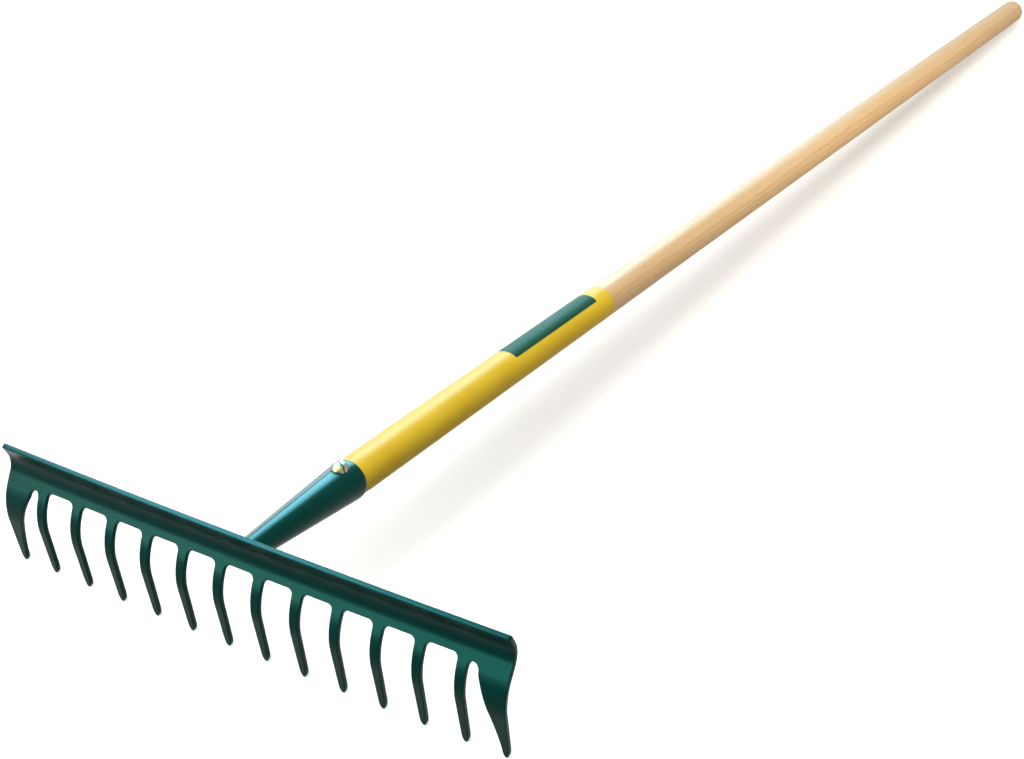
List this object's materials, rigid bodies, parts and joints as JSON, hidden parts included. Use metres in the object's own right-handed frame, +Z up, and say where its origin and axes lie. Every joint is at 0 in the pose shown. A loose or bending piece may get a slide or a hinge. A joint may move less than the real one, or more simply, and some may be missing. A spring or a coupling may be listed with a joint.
{
  "type": "garden rake",
  "caption": "Long-handled garden rake: pressed steel comb head with curved teeth, welded cone socket and round wooden handle.",
  "frame": {"origin": "on the floor, in the middle of the rake's length and width", "axes": "+X along the head to the right, +Y along the handle away from the head, +Z up; the rake lies on its tooth tips and on the end of its handle"},
  "size_m": [0.4, 1.5474, 0.0949],
  "materials": {
    "head_paint": "gloss green enamel",
    "socket_paint": "gloss green enamel",
    "weld_paint": "gloss green enamel over a weld bead",
    "zinc_plate": "bright zinc plate",
    "varnished_wood": "thin clear varnish",
    "yellow_lacquer": "gloss yellow lacquer",
    "label_film": "plain dark green film"
  },
  "bodies": {
    "root": {"rake_head": "head_paint", "handle_socket": "socket_paint", "socket_weld": "weld_paint", "fixing_screw": "zinc_plate", "handle_shaft": "varnished_wood", "handle_lacquer": "yellow_lacquer", "handle_label": "label_film"}
  },
  "joints": []
}
